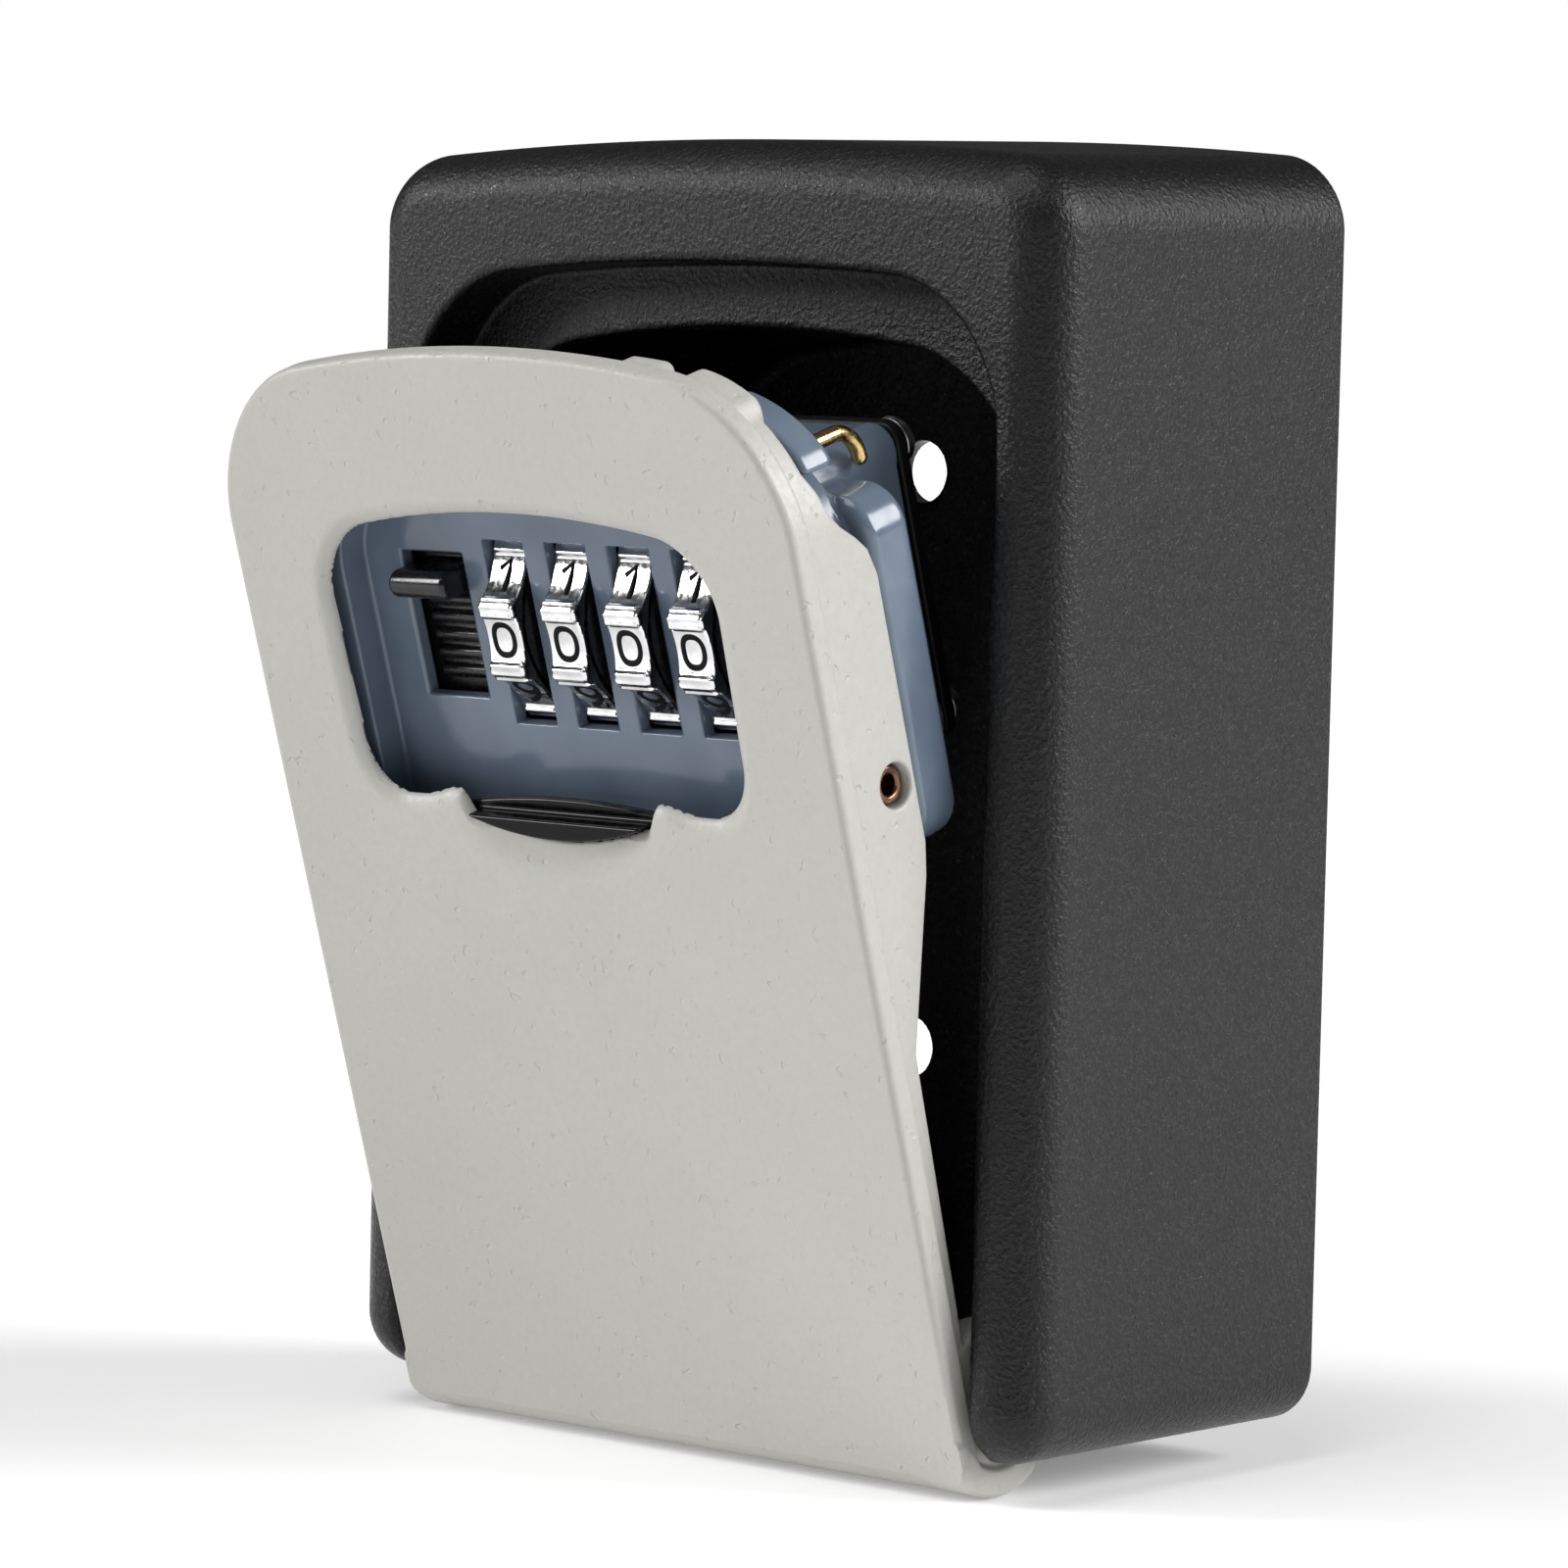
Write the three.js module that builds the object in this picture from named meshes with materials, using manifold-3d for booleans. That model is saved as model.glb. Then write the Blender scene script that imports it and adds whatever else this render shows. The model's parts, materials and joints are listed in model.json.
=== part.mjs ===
// Wall-mounted combination key lock box: a cast case with a drop-down door that carries a four-dial lock.
// Millimetres. +X right, +Y towards the wall, +Z up. The origin is the centre of the wall-mounting face.
import * as THREE from "three";
import { mergeVertices } from "three/addons/utils/BufferGeometryUtils.js";
import Module from "manifold-3d";

const wasm = await Module();
wasm.setup();

// ---------------------------------------------------------------- driving dimensions

const GAP = 0.3; // clearance between neighbouring pieces
// The case's top slopes down by the draft from the wall to the front.
const CASE = {
  halfWidth: 42.5, bottom: -60, top: 60.8, depth: 44, crown: 1.4, draft: 1.5, rim: 5.2, back: 2.5,
};
const CASE_CORNER = { top: 6.8, bottom: 5.5 };
const OPENING = { halfWidth: 35.6, bottom: -56.6, top: 42.0, corner: 15, crown: 1.5 };
const REBATE = { halfWidth: 35.7, top: 46.6, corner: 13.2, crown: 1.8, depth: 2.9, mouth: 1.6 };
// Deeper recess for the thick top edge of the door.
const HEAD = { halfWidth: 36.3, bottom: 8, top: 48, corner: 12.8, crown: 1, depth: 6.7 };
const STRIKE = { halfWidth: 10, front: -35.5, rear: -31, top: 46 };
const SCREW_HOLES = { radius: 3, halfSpacing: 6.5, upper: 28.4, lower: -28.4 };

// The hinge axis in the case, and the same axis in the door's own frame.
const HINGE = { y: -37.5, z: -55.5, pin: 1.5, bore: 1.85, inner: 30.7, outer: 38.9, sweep: 8.4 };
const AXIS = { n: 6.7, s: 4.6 };
const OPEN_ANGLE = THREE.MathUtils.degToRad(17.5); // how far the door stands open at rest

// Door frame: x across, n into the door from its front face, s up the door from its bottom edge.
const PLATE = { halfWidth: 35, top: 105.9, corner: 12.5, crown: 1.8, thickness: 2.5, round: 1.2 };
const PLUG = { halfWidth: 34.2, top: 104.4, corner: 12.2, crown: 1.6, wall: 2, rear: 11.3, topRear: 5.2 };
const LUGS = {
  halfWidth: 34.8, top: 105, corner: 12.5, front: 2, rear: 6.3, spans: [[14.5, 19.6], [22.4, 29]],
};
const LIP = { inner: 5.3, outer: 8.05, start: 185, end: 299 };
const EAR = { inner: 30.5, outer: 34.4 };
const WINDOW = { halfWidth: 24, bottom: 62.8, side: 84.2, shoulder: 87.8, top: 90.6, corner: 5 };
const NOTCH = { halfWidth: 11.4, crest: 12.6, bottom: 59.3 };
const POCKET = { halfWidth: 27, bottom: 31, top: 92.5, skin: 1.2 };
const HOUSING = {
  halfWidth: 31.8, bottom: 56.5, top: 97.4, front: 2.8, middle: 12.4, rear: 17.5, face: 6, skin: 1.5,
};
const HOUSING_EAR = {
  halfWidth: 33.4, top: 100.9, corner: 13, left: 21.5, right: 30.5, bottom: 92.7, front: 8.2,
};
const LOCK_BOX = { left: -26.5, right: 26.5, bottom: 62, top: 92.4, rear: 25 };
const BACK_PLATE = { thickness: 1.5, rear: 27.1 };
const BACK_SCREW = { inset: 2.6, shank: 1, head: 2.3, length: 7, pilot: 1.3, bore: 1.6, post: 2.6 };
const SIDE_PIN = { n: 8.5, s: 64.2, radius: 1.75, bore: 2.05, inner: 28.9, outer: 33.4 };

const DIAL = { n: 13.4, s: 77.3, firstX: -6.05, pitch: 7.75, count: 4, width: 4.4, facets: 10 };
const RING = { crest: 10.4, facet: 9.6, bore: 8.9, crestHalfAngle: 4, rampHalfAngle: 6.5 };
const HUB = { radius: 8.6, boss: 3.2, width: 4.4, bossWidth: 6.9 };
const SHAFT = { radius: 1.6, bore: 1.9, halfLength: 27 };
const CLIP = { radius: 3, thickness: 0.8, left: -9.4, right: 23 };
const DETENT = { rear: 24.9, strip: 63.8, foot: 67, bump: 77.3, tip: 80, halfFinger: 1.5, thickness: 0.4 };
const DIAL_SLOT = { halfWidth: 2.5, bottom: 68.4, top: 86.1 };
const SLIDE_SLOT = { left: -19.2, right: -11.5, bottom: 70.7, top: 84.7 };
const SLIDE = { front: 7.8, rear: 9.4, bottom: 68.4, top: 88.7, ribs: 5, ribPitch: 1.75, ribHeight: 0.9 };
const SLIDE_BAR = { s: 82.1, radius: 1.35, front: 3.1 };
const LATCH = { front: 9.7, rear: 11.2, left: -24.4, foot: 80, step: 85, leg: [-20.5, -12] };
const BOLT = { armBottom: 93.2, armTop: 94.9, halfWidth: 6.5, top: 100.4, chamfer: 0.8 };
const SPRING = { x: -22.7, n: 10.2, radius: 1.1, wire: 0.3, seat: 67.7, turns: 7 };
const RESET = { x: -13, s: 70, arm: 11, halfWidth: 2.2, thickness: 1.4 };
const HOOK = { x: 27.6, s: 94.2, reach: 5.8, drop: 3, wire: 0.75 };
const SHUTTER = { halfWidth: 26.2, bottom: 32, top: 63, crown: 3, front: 1.5, rear: 2.5 };
const SHUTTER_LIP = { halfWidth: 10.6, top: 61.5, bottom: 59.8, front: -0.6 };

const COLOURS = {
  case: { color: 0x2b2b2d, roughness: 0.62, metalness: 0.2 },
  door: { color: 0xbcb9b0, roughness: 0.48, metalness: 0.1 },
  housing: { color: 0x66748c, roughness: 0.25, metalness: 0 },
  blackPlastic: { color: 0x111112, roughness: 0.3, metalness: 0 },
  chrome: { color: 0xdcdde0, roughness: 0.08, metalness: 1 },
  steel: { color: 0x9a9ca0, roughness: 0.35, metalness: 1 },
  brass: { color: 0xb08a45, roughness: 0.3, metalness: 1 },
};

// ---------------------------------------------------------------- helpers

function toSolid(geometry) {
  const bare = geometry.clone();
  bare.deleteAttribute("normal");
  bare.deleteAttribute("uv");
  const merged = mergeVertices(bare, 1e-4);
  const mesh = new wasm.Mesh({
    numProp: 3,
    vertProperties: new Float32Array(merged.attributes.position.array),
    triVerts: new Uint32Array(merged.index.array),
  });
  return new wasm.Manifold(mesh);
}

function toGeometry(solid) {
  const mesh = solid.getMesh();
  const geometry = new THREE.BufferGeometry();
  geometry.setAttribute("position", new THREE.BufferAttribute(new Float32Array(mesh.vertProperties), 3));
  geometry.setIndex(new THREE.BufferAttribute(new Uint32Array(mesh.triVerts), 1));
  geometry.computeVertexNormals();
  return geometry;
}

function join(...solids) {
  return solids.reduce((all, one) => all.add(one));
}

function cut(base, ...tools) {
  return tools.reduce((left, tool) => left.subtract(tool), base);
}

// A block between two values along each axis.
function block(x0, x1, y0, y1, z0, z1) {
  const geometry = new THREE.BoxGeometry(x1 - x0, y1 - y0, z1 - z0);
  geometry.translate((x0 + x1) / 2, (y0 + y1) / 2, (z0 + z1) / 2);
  return toSolid(geometry);
}

// A rod along X, centred on (y, z).
function rodX(radius, x0, x1, y, z, sides = 20) {
  const geometry = new THREE.CylinderGeometry(radius, radius, x1 - x0, sides);
  geometry.rotateZ(Math.PI / 2);
  geometry.translate((x0 + x1) / 2, y, z);
  return toSolid(geometry);
}

// A rod along Y, centred on (x, z).
function rodY(radius, y0, y1, x, z, sides = 20) {
  const geometry = new THREE.CylinderGeometry(radius, radius, y1 - y0, sides);
  geometry.translate(x, (y0 + y1) / 2, z);
  return toSolid(geometry);
}

// An outline in the x-z plane, made solid from y0 (front) to y1 (rear). The front edge may be rounded.
function slab(shape, y0, y1, { round = 0, curveSegments = 7, bevelSegments = 3 } = {}) {
  const depth = y1 - y0 - round;
  const bevel = round
    ? { bevelEnabled: true, bevelThickness: round, bevelSize: round, bevelOffset: -round, bevelSegments }
    : { bevelEnabled: false };
  const geometry = new THREE.ExtrudeGeometry(shape, { depth, curveSegments, ...bevel });
  geometry.rotateX(Math.PI / 2);
  geometry.translate(0, y1, 0);
  const solid = toSolid(geometry);
  return round ? cut(solid, block(-200, 200, y1, y1 + 50, -200, 200)) : solid;
}

// An outline in the y-z plane, made solid from x0 to x1.
function bar(shape, x0, x1, curveSegments = 8) {
  const geometry = new THREE.ExtrudeGeometry(shape, { depth: x1 - x0, curveSegments, bevelEnabled: false });
  geometry.applyMatrix4(new THREE.Matrix4().set(0, 0, 1, x0, 1, 0, 0, 0, 0, 1, 0, 0, 0, 0, 0, 1));
  return toSolid(geometry);
}

// An outline in the x-z plane flared outwards towards the front, to break the edge of a recess.
function flare(shape, yFront, size) {
  const options = { depth: 2, bevelThickness: size, bevelSize: size, bevelSegments: 1, curveSegments: 7 };
  const geometry = new THREE.ExtrudeGeometry(shape, options);
  geometry.rotateX(Math.PI / 2);
  geometry.translate(0, yFront, 0);
  return toSolid(geometry);
}

function polygon(points) {
  return new THREE.Shape(points.map(([a, b]) => new THREE.Vector2(a, b)));
}

// A rounded rectangle whose top edge is a shallow arch that peaks at top.
function archedOutline(halfWidth, bottom, top, cornerTop, crown, cornerBottom = cornerTop) {
  const shape = new THREE.Shape();
  const shoulder = top - crown;
  shape.moveTo(-halfWidth + cornerBottom, bottom);
  shape.lineTo(halfWidth - cornerBottom, bottom);
  shape.absarc(halfWidth - cornerBottom, bottom + cornerBottom, cornerBottom, -Math.PI / 2, 0);
  shape.lineTo(halfWidth, shoulder - cornerTop);
  shape.absarc(halfWidth - cornerTop, shoulder - cornerTop, cornerTop, 0, Math.PI / 2);
  shape.quadraticCurveTo(0, top + crown, -halfWidth + cornerTop, shoulder);
  shape.absarc(-halfWidth + cornerTop, shoulder - cornerTop, cornerTop, Math.PI / 2, Math.PI);
  shape.lineTo(-halfWidth, bottom + cornerBottom);
  shape.absarc(-halfWidth + cornerBottom, bottom + cornerBottom, cornerBottom, Math.PI, 1.5 * Math.PI);
  return shape;
}

function rectangle(x0, x1, z0, z1) {
  return polygon([[x0, z0], [x1, z0], [x1, z1], [x0, z1]]);
}

const door = new THREE.Group();
const root = new THREE.Group();

function add(group, name, solid, look) {
  const mesh = new THREE.Mesh(toGeometry(solid), new THREE.MeshStandardMaterial(COLOURS[look]));
  mesh.name = name;
  group.add(mesh);
}

// ---------------------------------------------------------------- case

function rearCase() {
  const front = -CASE.depth;
  const corner = CASE_CORNER;
  const outline = archedOutline(CASE.halfWidth, CASE.bottom, CASE.top, corner.top, CASE.crown, corner.bottom);
  const outer = slab(outline, front, 0, { round: CASE.rim, bevelSegments: 4 }).warp((p) => {
    p[2] -= CASE.draft * (p[1] / front) * Math.max(0, p[2] / CASE.top);
  });
  const o = OPENING;
  const opening = archedOutline(o.halfWidth, o.bottom, o.top, o.corner, o.crown, 3);
  const below = CASE.bottom - 20;
  const rebate = archedOutline(REBATE.halfWidth, below, REBATE.top, REBATE.corner, REBATE.crown, 1);
  const h = HEAD;
  const head = archedOutline(h.halfWidth, h.bottom, h.top, h.corner, h.crown);
  const holes = [];
  for (const side of [-1, 1]) {
    for (const height of [SCREW_HOLES.upper, SCREW_HOLES.lower]) {
      holes.push(rodY(SCREW_HOLES.radius, -5, 1, side * SCREW_HOLES.halfSpacing, height, 24));
    }
  }
  return cut(
    outer,
    slab(opening, front - 1, -CASE.back),
    slab(rebate, front - 1, front + REBATE.depth),
    slab(head, front - 1, front + h.depth),
    flare(rebate, front, REBATE.mouth),
    rodX(HINGE.sweep, -REBATE.halfWidth, REBATE.halfWidth, HINGE.y, HINGE.z, 32),
    rodX(HINGE.bore, -HINGE.outer - GAP, HINGE.outer + GAP, HINGE.y, HINGE.z),
    block(-STRIKE.halfWidth, STRIKE.halfWidth, STRIKE.front, STRIKE.rear, OPENING.top - 4, STRIKE.top),
    ...holes,
  );
}

// ---------------------------------------------------------------- door shell

// The window with its waved lower edge and the notch for the shutter's finger lip.
function windowOutline() {
  const w = WINDOW;
  const shape = new THREE.Shape();
  shape.moveTo(-w.halfWidth, w.side);
  shape.quadraticCurveTo(-w.halfWidth, w.shoulder, -w.halfWidth + 4.5, w.shoulder + 0.9);
  shape.quadraticCurveTo(0, 2 * w.top - w.shoulder - 0.9, w.halfWidth - 4.5, w.shoulder + 0.9);
  shape.quadraticCurveTo(w.halfWidth, w.shoulder, w.halfWidth, w.side);
  shape.lineTo(w.halfWidth - 0.6, w.bottom + w.corner);
  shape.quadraticCurveTo(w.halfWidth - 0.8, w.bottom, w.halfWidth - w.corner - 1, w.bottom);
  shape.quadraticCurveTo(NOTCH.crest + 3, w.bottom - 0.2, NOTCH.crest, w.bottom + 0.8);
  shape.quadraticCurveTo(NOTCH.halfWidth, w.bottom + 0.9, NOTCH.halfWidth, w.bottom - 1.2);
  shape.quadraticCurveTo(0, 2 * NOTCH.bottom - w.bottom + 1.2, -NOTCH.halfWidth, w.bottom - 1.2);
  shape.quadraticCurveTo(-NOTCH.halfWidth, w.bottom + 0.9, -NOTCH.crest, w.bottom + 0.8);
  shape.quadraticCurveTo(-NOTCH.crest - 3, w.bottom - 0.2, -w.halfWidth + w.corner + 1, w.bottom);
  shape.quadraticCurveTo(-w.halfWidth + 0.8, w.bottom, -w.halfWidth + 0.6, w.bottom + w.corner);
  shape.closePath();
  return shape;
}

function lipOutline() {
  const from = THREE.MathUtils.degToRad(LIP.start);
  const to = THREE.MathUtils.degToRad(LIP.end);
  const shape = new THREE.Shape();
  shape.absarc(AXIS.n, AXIS.s, LIP.outer, from, to, false);
  shape.absarc(AXIS.n, AXIS.s, LIP.inner, to, from, true);
  shape.closePath();
  return shape;
}

function doorShell() {
  const p = PLATE;
  const outline = archedOutline(p.halfWidth, 0, p.top, p.corner, p.crown, 1.5);
  const plate = slab(outline, 0, p.thickness, { round: p.round });
  const q = PLUG;
  const outer = archedOutline(q.halfWidth, 2, q.top, q.corner, q.crown, 1);
  const inner = archedOutline(q.halfWidth - q.wall, -10, q.top - q.wall, q.corner - q.wall, q.crown, 1);
  const wall = cut(slab(outer, 1.5, q.rear), slab(inner, 1.4, q.rear + 1));
  const lowTaper = polygon([
    [q.rear + 2, 58], [q.rear, 56], [5, 40], [4.2, 12], [4.2, -5], [40, -5], [40, 58],
  ]);
  const highTaper = polygon([
    [q.topRear, 110], [q.topRear, 90.5], [q.rear + 0.1, 86.5], [40, 86.5], [40, 110],
  ]);
  const rim = cut(wall, bar(lowTaper, -50, 50), bar(highTaper, -50, 50));
  const l = LUGS;
  const lugs = slab(archedOutline(l.halfWidth, 80, l.top, l.corner, q.crown, 1), l.front, l.rear);
  const solids = [plate, rim, bar(lipOutline(), -p.halfWidth, p.halfWidth)];
  for (const [x0, x1] of l.spans) {
    solids.push(cut(lugs, block(-60, x0, 0, 20, 70, 120), block(x1, 60, 0, 20, 70, 120), slab(inner, 0, 20)));
  }
  const bores = [];
  for (const side of [-1, 1]) {
    const [x0, x1] = [side * EAR.inner, side * EAR.outer].sort((a, b) => a - b);
    solids.push(rodX(LIP.outer, x0, x1, AXIS.n, AXIS.s, 40));
    bores.push(rodX(HINGE.pin + GAP, x0 - 2, x1 + 2, AXIS.n, AXIS.s));
    bores.push(rodX(SIDE_PIN.bore, x0 - 1, x1 + 1, SIDE_PIN.n, SIDE_PIN.s));
  }
  return cut(
    join(...solids),
    block(-60, 60, -20, 0, -20, 120),
    slab(windowOutline(), -1, p.thickness + 0.5, { curveSegments: 6 }),
    block(-POCKET.halfWidth, POCKET.halfWidth, POCKET.skin, p.thickness + 0.01, POCKET.bottom, POCKET.top),
    ...bores,
  );
}

// ---------------------------------------------------------------- lock housing and its back plate

function dialX(index) {
  return DIAL.firstX + index * DIAL.pitch;
}

// Screw centres at the corners of the lock box.
const BACK_SCREWS = [LOCK_BOX.bottom + BACK_SCREW.inset, LOCK_BOX.top - BACK_SCREW.inset].flatMap((s) => [
  [LOCK_BOX.left + BACK_SCREW.inset, s],
  [LOCK_BOX.right - BACK_SCREW.inset, s],
]);

function lockHousing() {
  const h = HOUSING;
  const b = LOCK_BOX;
  const outline = archedOutline(h.halfWidth, h.bottom, h.top, 12, 1.2, 3);
  const sides = archedOutline(33.4, h.bottom, 90, 4, 0.2, 4);
  const inside = archedOutline(b.right - 1.4, b.bottom + 1.4, b.top - 1.4, 1, 0.1, 1);
  const e = HOUSING_EAR;
  const ear = cut(
    slab(archedOutline(e.halfWidth, 60, e.top, e.corner, 1.2, 1), e.front, h.middle),
    block(-60, e.left, 0, 20, 50, 120),
    block(e.right, 60, 0, 20, 50, 120),
    block(-60, 60, 0, 20, 50, e.bottom),
  );
  const body = join(
    ear,
    slab(outline, h.front, h.middle),
    slab(sides, PLUG.rear + 0.4, h.rear, { curveSegments: 5 }),
    slab(archedOutline(b.right, b.bottom, b.top, 2, 0.1, 2), h.front + 1, b.rear, { curveSegments: 3 }),
  );
  const tools = [
    // open-bottomed recess in front of the dial face, where the shutter's view is clear
    slab(archedOutline(WINDOW.halfWidth, 50, 91.6, 5, 1, 1), 0, h.face, { curveSegments: 5 }),
    // inside of the lock box, open to the rear
    slab(inside, h.face + h.skin, b.rear + 1, { curveSegments: 2 }),
    // channel for the latch arm, and the bolt's way out at the top
    block(LATCH.leg[0] - 0.5, BOLT.halfWidth, LATCH.front - 0.5, LATCH.rear + 0.5, 88, BOLT.armTop + 0.4),
    block(-BOLT.halfWidth - 0.5, BOLT.halfWidth + 0.5, LATCH.front - 0.5, LATCH.rear + 0.5, 88, 110),
    slab(rectangle(SLIDE_SLOT.left, SLIDE_SLOT.right, SLIDE_SLOT.bottom, SLIDE_SLOT.top), 5, 8),
    rodX(SHAFT.bore, -SHAFT.halfLength - GAP, SHAFT.halfLength + GAP, DIAL.n, DIAL.s),
  ];
  const seat = block(b.left + 1, SPRING.x + 2, h.face + 1, SPRING.n + 2, SPRING.seat - 1.6, SPRING.seat);
  for (let i = 0; i < DIAL.count; i++) {
    const x = dialX(i);
    const slot = rectangle(x - DIAL_SLOT.halfWidth, x + DIAL_SLOT.halfWidth, DIAL_SLOT.bottom, DIAL_SLOT.top);
    tools.push(slab(slot, 5, 8));
  }
  for (const side of [-1, 1]) {
    const [x0, x1] = [side * 28.6, side * 34].sort((a, c) => a - c);
    tools.push(rodX(SIDE_PIN.bore, x0, x1, SIDE_PIN.n, SIDE_PIN.s));
  }
  const posts = BACK_SCREWS.map(([x, s]) => rodY(BACK_SCREW.post, h.face + 0.5, b.rear, x, s, 16));
  const pilots = BACK_SCREWS.map(([x, s]) => rodY(BACK_SCREW.pilot, b.rear - 7.5, b.rear + 1, x, s, 12));
  return cut(join(cut(body, ...tools), seat, ...posts), ...pilots);
}

function lockBackPlate() {
  const b = LOCK_BOX;
  const outline = archedOutline(b.right, b.bottom, b.top, 2, 0.1, 2);
  const front = b.rear + GAP;
  const plate = slab(outline, front, front + BACK_PLATE.thickness, { curveSegments: 3 });
  const bores = BACK_SCREWS.map(([x, s]) => rodY(BACK_SCREW.bore, 20, 30, x, s, 16));
  return cut(plate, ...bores, rodY(1.9, 20, 30, RESET.x, RESET.s, 16));
}

// Pan-head screw with a cross recess, driven in from the rear.
function backScrew([x, s]) {
  const seat = BACK_PLATE.rear;
  const { shank, head, length } = BACK_SCREW;
  const crown = [[head, length], [head, length + 0.8], [head - 0.6, length + 1.5], [0, length + 1.7]];
  const profile = [[0, 0], [shank, 0], [shank, length], ...crown];
  const geometry = new THREE.LatheGeometry(profile.map(([r, z]) => new THREE.Vector2(r, z)), 14);
  geometry.translate(x, seat - length, s);
  const cross = [block(x - 1.2, x + 1.2, seat + 1, seat + 3, s - 0.25, s + 0.25)];
  cross.push(block(x - 0.25, x + 0.25, seat + 1, seat + 3, s - 1.2, s + 1.2));
  return cut(toSolid(geometry), ...cross);
}

// Code-change lever: a flat arm with a turned-up finger tab, on a stub that passes through the back plate.
function resetLever() {
  const front = BACK_PLATE.rear;
  const r = RESET;
  const shape = new THREE.Shape();
  shape.absarc(r.x, r.s, r.halfWidth + 1, Math.PI * 0.75, Math.PI * 2.25, false);
  shape.lineTo(r.x + r.halfWidth, r.s + r.arm);
  shape.lineTo(r.x - r.halfWidth, r.s + r.arm);
  shape.closePath();
  return join(
    slab(shape, front, front + r.thickness),
    block(r.x - r.halfWidth, r.x + r.halfWidth, front, front + 3.6, r.s + r.arm - 1.4, r.s + r.arm),
    rodY(1.5, LOCK_BOX.rear - 3, front + 0.5, r.x, r.s, 16),
  );
}

// ---------------------------------------------------------------- dials

// Ring outline: a flat for each digit, and a raised crest between each two flats.
function ringOutline() {
  const points = [];
  const step = (2 * Math.PI) / DIAL.facets;
  const crest = THREE.MathUtils.degToRad(RING.crestHalfAngle);
  const ramp = THREE.MathUtils.degToRad(RING.rampHalfAngle);
  for (let i = 0; i < DIAL.facets; i++) {
    const middle = (i + 0.5) * step;
    for (const [angle, radius] of [
      [middle - ramp, RING.facet],
      [middle - crest, RING.crest],
      [middle + crest, RING.crest],
      [middle + ramp, RING.facet],
    ]) {
      points.push(new THREE.Vector2(DIAL.n - radius * Math.cos(angle), DIAL.s + radius * Math.sin(angle)));
    }
  }
  return new THREE.Shape(points.reverse());
}

function dialRing(index) {
  const x0 = dialX(index) - DIAL.width / 2;
  const x1 = dialX(index) + DIAL.width / 2;
  return cut(bar(ringOutline(), x0, x1), rodX(RING.bore, x0 - 1, x1 + 1, DIAL.n, DIAL.s, 40));
}

// Code disc: fills the ring, with a gate notch in its rear rim and a spacer boss on its right.
function dialHub(index) {
  const x = dialX(index) - HUB.width / 2;
  const disc = rodX(HUB.radius, x, x + HUB.width, DIAL.n, DIAL.s, 40);
  const boss = rodX(HUB.boss, x, x + HUB.bossWidth, DIAL.n, DIAL.s);
  const bore = rodX(SHAFT.bore, x - 1, x + HUB.bossWidth + 1, DIAL.n, DIAL.s);
  const gate = block(x - 1, x + 1.4, DIAL.n + 6, DIAL.n + 12, DIAL.s - 1.6, DIAL.s + 1.6);
  return cut(join(disc, boss), bore, gate);
}

function shaftClip(x) {
  const ring = rodX(CLIP.radius, x - CLIP.thickness / 2, x + CLIP.thickness / 2, DIAL.n, DIAL.s);
  const bore = rodX(SHAFT.radius + 0.15, x - 2, x + 2, DIAL.n, DIAL.s);
  const mouth = block(x - 2, x + 2, DIAL.n - 0.9, DIAL.n + 0.9, DIAL.s, DIAL.s + 6);
  return cut(ring, bore, mouth);
}

// Comb of leaf springs behind the dials: one finger for each dial, joined by a strip at the bottom.
function detentSpring() {
  const { rear, foot, bump, tip, halfFinger } = DETENT;
  const front = rear - DETENT.thickness;
  const side = [[front, foot], [rear, foot], [rear, tip], [front, tip]];
  const nose = [[front, bump + 1.3], [front - 0.3, bump], [front, bump - 1.3]];
  const finger = polygon([...side, ...nose]);
  const fingers = [];
  for (let i = 0; i < DIAL.count; i++) {
    fingers.push(bar(finger, dialX(i) - halfFinger, dialX(i) + halfFinger));
  }
  const last = dialX(DIAL.count - 1);
  const strip = block(dialX(0) - 2.5, last + 2.5, front, rear, DETENT.strip, foot + 0.5);
  return join(strip, ...fingers);
}

// ---------------------------------------------------------------- open slide, latch and shutter

// Ribbed slide behind the face, with a finger bar that stands out through the slot.
function openSlide() {
  const s = SLIDE;
  const slot = SLIDE_SLOT;
  const plate = block(slot.left - 1.3, slot.right + 0.9, s.front, s.rear, s.bottom, s.top);
  const ribs = [];
  for (let i = 0; i < s.ribs; i++) {
    const centre = SLIDE_BAR.s - 2.6 - i * s.ribPitch;
    ribs.push(block(slot.left + 0.5, slot.right - 0.5, s.front - s.ribHeight + 0.7, s.front + 0.1,
      centre - 0.4, centre + 0.4));
  }
  const outline = new THREE.Shape();
  outline.moveTo(s.front + 0.1, SLIDE_BAR.s - SLIDE_BAR.radius);
  outline.lineTo(s.front + 0.1, SLIDE_BAR.s + SLIDE_BAR.radius);
  outline.absarc(SLIDE_BAR.front + SLIDE_BAR.radius, SLIDE_BAR.s, SLIDE_BAR.radius,
    Math.PI / 2, 1.5 * Math.PI, false);
  return join(plate, ...ribs, bar(outline, slot.left + 0.3, slot.right - 0.3));
}

// Flat steel latch: runs up from the slide and across to a bolt at the top of the door.
function latchPlate() {
  const l = LATCH;
  const b = BOLT;
  const [left, right] = l.leg;
  const shape = polygon([
    [l.left, l.foot],
    [right, l.foot],
    [right, b.armBottom],
    [b.halfWidth, b.armBottom],
    [b.halfWidth, b.top - b.chamfer],
    [b.halfWidth - b.chamfer, b.top],
    [-b.halfWidth + b.chamfer, b.top],
    [-b.halfWidth, b.top - b.chamfer],
    [-b.halfWidth, b.armTop],
    [left, b.armTop],
    [left, l.step],
    [l.left, l.step],
  ]);
  return slab(shape, l.front, l.rear);
}

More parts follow.
